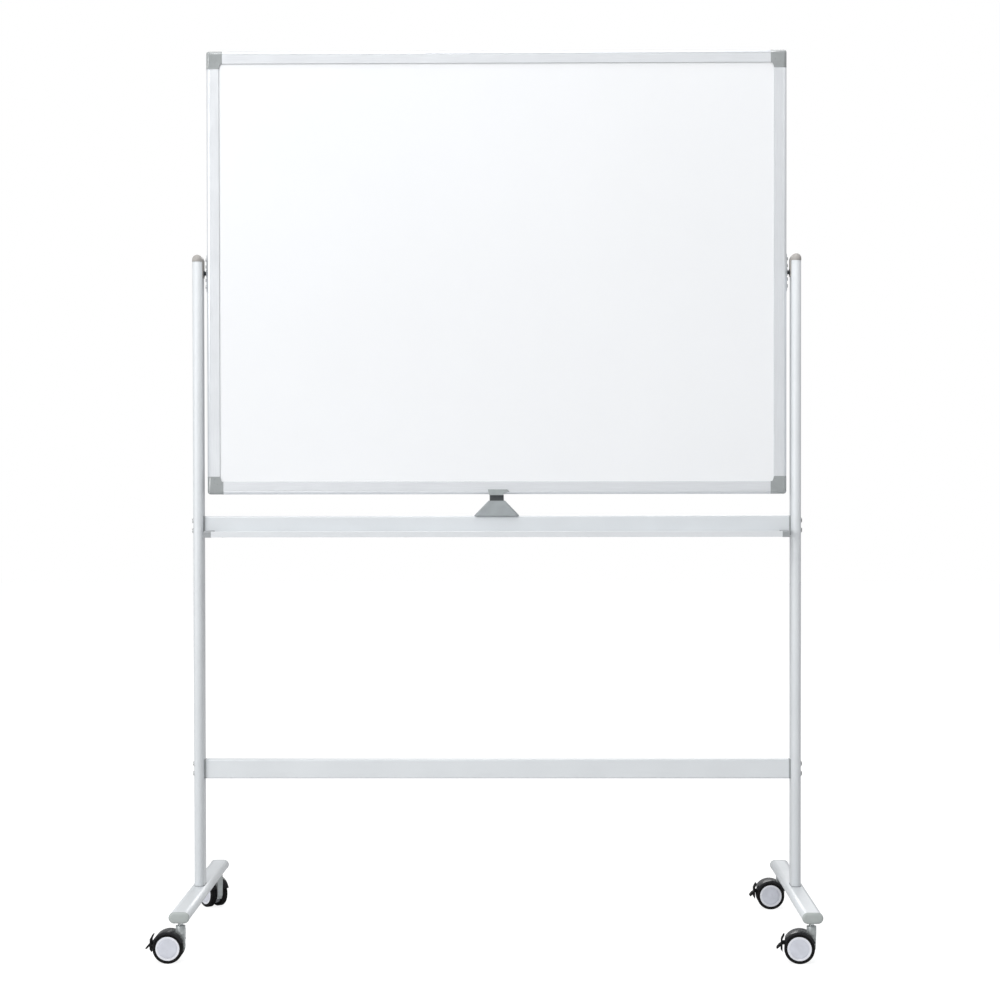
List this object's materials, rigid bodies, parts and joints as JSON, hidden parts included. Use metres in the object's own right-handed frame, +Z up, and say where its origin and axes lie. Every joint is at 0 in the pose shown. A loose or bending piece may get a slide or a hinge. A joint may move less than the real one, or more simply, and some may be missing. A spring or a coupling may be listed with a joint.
{
  "type": "rolling whiteboard",
  "caption": "Double-sided whiteboard in an aluminium frame that turns over on side pivots, with a marker tray and a lower latch, on a two-post stand with braked twin-wheel casters.",
  "frame": {"origin": "on the floor, midway between the two posts and under the middle of the board", "axes": "+Z up; +X to the right of a person facing the side with the tray; -Y towards that person"},
  "size_m": [1.3267, 0.6344, 1.832],
  "materials": {
    "powder_coat": "satin pale grey powder coat on steel tube",
    "tray_metal": "satin pale grey powder coat on an aluminium section",
    "anodised_rail": "fine brushed clear anodised",
    "enamel_sheet": "glossy baked white enamel on steel",
    "core": "hidden fibre core",
    "corner_plastic": "fine grained grey moulding",
    "dome_plastic": "warm grey moulding",
    "foot_cap_plastic": "grey-green moulding",
    "plug_plastic": "dark grey moulding",
    "fastener_steel": "zinc plated",
    "stem_steel": "zinc plated",
    "pivot_black": "black oxide steel",
    "latch_plastic": "grey moulding",
    "latch_head_plastic": "grey moulding",
    "spring_steel": "zinc plated wire",
    "die_cast": "blasted zinc die casting",
    "hood_plastic": "black moulding with a slight gloss",
    "pedal_plastic": "black moulding",
    "tyre_rubber": "smooth black tread",
    "hub_plastic": "white moulding"
  },
  "bodies": {
    "stand": {"left_post": "powder_coat", "right_post": "powder_coat", "left_foot": "powder_coat", "right_foot": "powder_coat", "post_caps": "dome_plastic", "foot_end_caps": "foot_cap_plastic", "post_foot_plugs": "plug_plastic", "foot_bolts": "fastener_steel", "caster_stems": "stem_steel", "tray_beam": "powder_coat", "lower_crossbar": "powder_coat", "crossbar_end_plugs": "plug_plastic", "crossbar_bolts": "fastener_steel", "marker_tray": "tray_metal", "tray_end_caps": "plug_plastic", "tray_screws": "fastener_steel", "pivot_pins": "pivot_black", "pivot_spacers": "pivot_black", "latch_base": "latch_plastic"},
    "board": {"front_sheet": "enamel_sheet", "back_sheet": "enamel_sheet", "board_core": "core", "top_rail": "anodised_rail", "bottom_rail": "anodised_rail", "left_rail": "anodised_rail", "right_rail": "anodised_rail", "corner_caps": "corner_plastic", "pivot_brackets": "powder_coat", "bracket_screws": "fastener_steel", "pivot_bushes": "pivot_black"},
    "latch": {"latch_plunger": "latch_head_plastic", "latch_spring": "spring_steel"},
    "caster_fl_fork": {"caster_fl_housing": "die_cast", "caster_fl_hood": "hood_plastic"},
    "caster_fl_brake": {"caster_fl_brake_lever": "pedal_plastic"},
    "caster_fl_wheel_a": {"caster_fl_tyre_a": "tyre_rubber", "caster_fl_hub_a": "hub_plastic"},
    "caster_fl_wheel_b": {"caster_fl_tyre_b": "tyre_rubber", "caster_fl_hub_b": "hub_plastic"},
    "caster_fr_fork": {"caster_fr_housing": "die_cast", "caster_fr_hood": "hood_plastic"},
    "caster_fr_brake": {"caster_fr_brake_lever": "pedal_plastic"},
    "caster_fr_wheel_a": {"caster_fr_tyre_a": "tyre_rubber", "caster_fr_hub_a": "hub_plastic"},
    "caster_fr_wheel_b": {"caster_fr_tyre_b": "tyre_rubber", "caster_fr_hub_b": "hub_plastic"},
    "caster_rl_fork": {"caster_rl_housing": "die_cast", "caster_rl_hood": "hood_plastic"},
    "caster_rl_brake": {"caster_rl_brake_lever": "pedal_plastic"},
    "caster_rl_wheel_a": {"caster_rl_tyre_a": "tyre_rubber", "caster_rl_hub_a": "hub_plastic"},
    "caster_rl_wheel_b": {"caster_rl_tyre_b": "tyre_rubber", "caster_rl_hub_b": "hub_plastic"},
    "caster_rr_fork": {"caster_rr_housing": "die_cast", "caster_rr_hood": "hood_plastic"},
    "caster_rr_brake": {"caster_rr_brake_lever": "pedal_plastic"},
    "caster_rr_wheel_a": {"caster_rr_tyre_a": "tyre_rubber", "caster_rr_hub_a": "hub_plastic"},
    "caster_rr_wheel_b": {"caster_rr_tyre_b": "tyre_rubber", "caster_rr_hub_b": "hub_plastic"}
  },
  "joints": [
    {"name": "board_flip", "type": "hinge", "parent": "stand", "child": "board", "pos_m": [0, 0, 1.3735], "axis": [1, 0, 0], "continuous": true},
    {"name": "latch_press", "type": "slide", "parent": "stand", "child": "latch", "axis": [0, 0, 1], "range_m": [-0.0108, 0], "stiffness_N_per_m": 300, "springref_m": 0.004, "deforming": ["latch_spring"]},
    {"name": "caster_fl_swivel", "type": "hinge", "parent": "stand", "child": "caster_fl_fork", "pos_m": [-0.619, -0.275, 0.07], "axis": [0, 0, 1], "continuous": true},
    {"name": "caster_fl_spin_a", "type": "hinge", "parent": "caster_fl_fork", "child": "caster_fl_wheel_a", "pos_m": [-0.642, -0.275, 0.03], "axis": [0, 1, 0], "continuous": true},
    {"name": "caster_fl_spin_b", "type": "hinge", "parent": "caster_fl_fork", "child": "caster_fl_wheel_b", "pos_m": [-0.642, -0.275, 0.03], "axis": [0, 1, 0], "continuous": true},
    {"name": "caster_fl_brake_press", "type": "hinge", "parent": "caster_fl_fork", "child": "caster_fl_brake", "pos_m": [-0.668, -0.275, 0.039], "axis": [0, -1, 0], "range_deg": [0, 13]},
    {"name": "caster_fr_swivel", "type": "hinge", "parent": "stand", "child": "caster_fr_fork", "pos_m": [0.619, -0.275, 0.07], "axis": [0, 0, 1], "continuous": true},
    {"name": "caster_fr_spin_a", "type": "hinge", "parent": "caster_fr_fork", "child": "caster_fr_wheel_a", "pos_m": [0.59617, -0.2722, 0.03], "axis": [0.1219, 0.9925, 0], "continuous": true},
    {"name": "caster_fr_spin_b", "type": "hinge", "parent": "caster_fr_fork", "child": "caster_fr_wheel_b", "pos_m": [0.59617, -0.2722, 0.03], "axis": [0.1219, 0.9925, 0], "continuous": true},
    {"name": "caster_fr_brake_press", "type": "hinge", "parent": "caster_fr_fork", "child": "caster_fr_brake", "pos_m": [0.57037, -0.26903, 0.039], "axis": [-0.1219, -0.9925, 0], "range_deg": [0, 13]},
    {"name": "caster_rl_swivel", "type": "hinge", "parent": "stand", "child": "caster_rl_fork", "pos_m": [-0.619, 0.275, 0.07], "axis": [0, 0, 1], "continuous": true},
    {"name": "caster_rl_spin_a", "type": "hinge", "parent": "caster_rl_fork", "child": "caster_rl_wheel_a", "pos_m": [-0.63316, 0.29312, 0.03], "axis": [0.788, 0.6157, 0], "continuous": true},
    {"name": "caster_rl_spin_b", "type": "hinge", "parent": "caster_rl_fork", "child": "caster_rl_wheel_b", "pos_m": [-0.63316, 0.29312, 0.03], "axis": [0.788, 0.6157, 0], "continuous": true},
    {"name": "caster_rl_brake_press", "type": "hinge", "parent": "caster_rl_fork", "child": "caster_rl_brake", "pos_m": [-0.64917, 0.31361, 0.039], "axis": [-0.788, -0.6157, 0], "range_deg": [0, 13]},
    {"name": "caster_rr_swivel", "type": "hinge", "parent": "stand", "child": "caster_rr_fork", "pos_m": [0.619, 0.275, 0.07], "axis": [0, 0, 1], "continuous": true},
    {"name": "caster_rr_spin_a", "type": "hinge", "parent": "caster_rr_fork", "child": "caster_rr_wheel_a", "pos_m": [0.596, 0.275, 0.03], "axis": [0, 1, 0], "continuous": true},
    {"name": "caster_rr_spin_b", "type": "hinge", "parent": "caster_rr_fork", "child": "caster_rr_wheel_b", "pos_m": [0.596, 0.275, 0.03], "axis": [0, 1, 0], "continuous": true},
    {"name": "caster_rr_brake_press", "type": "hinge", "parent": "caster_rr_fork", "child": "caster_rr_brake", "pos_m": [0.57, 0.275, 0.039], "axis": [0, -1, 0], "range_deg": [0, 13]}
  ]
}
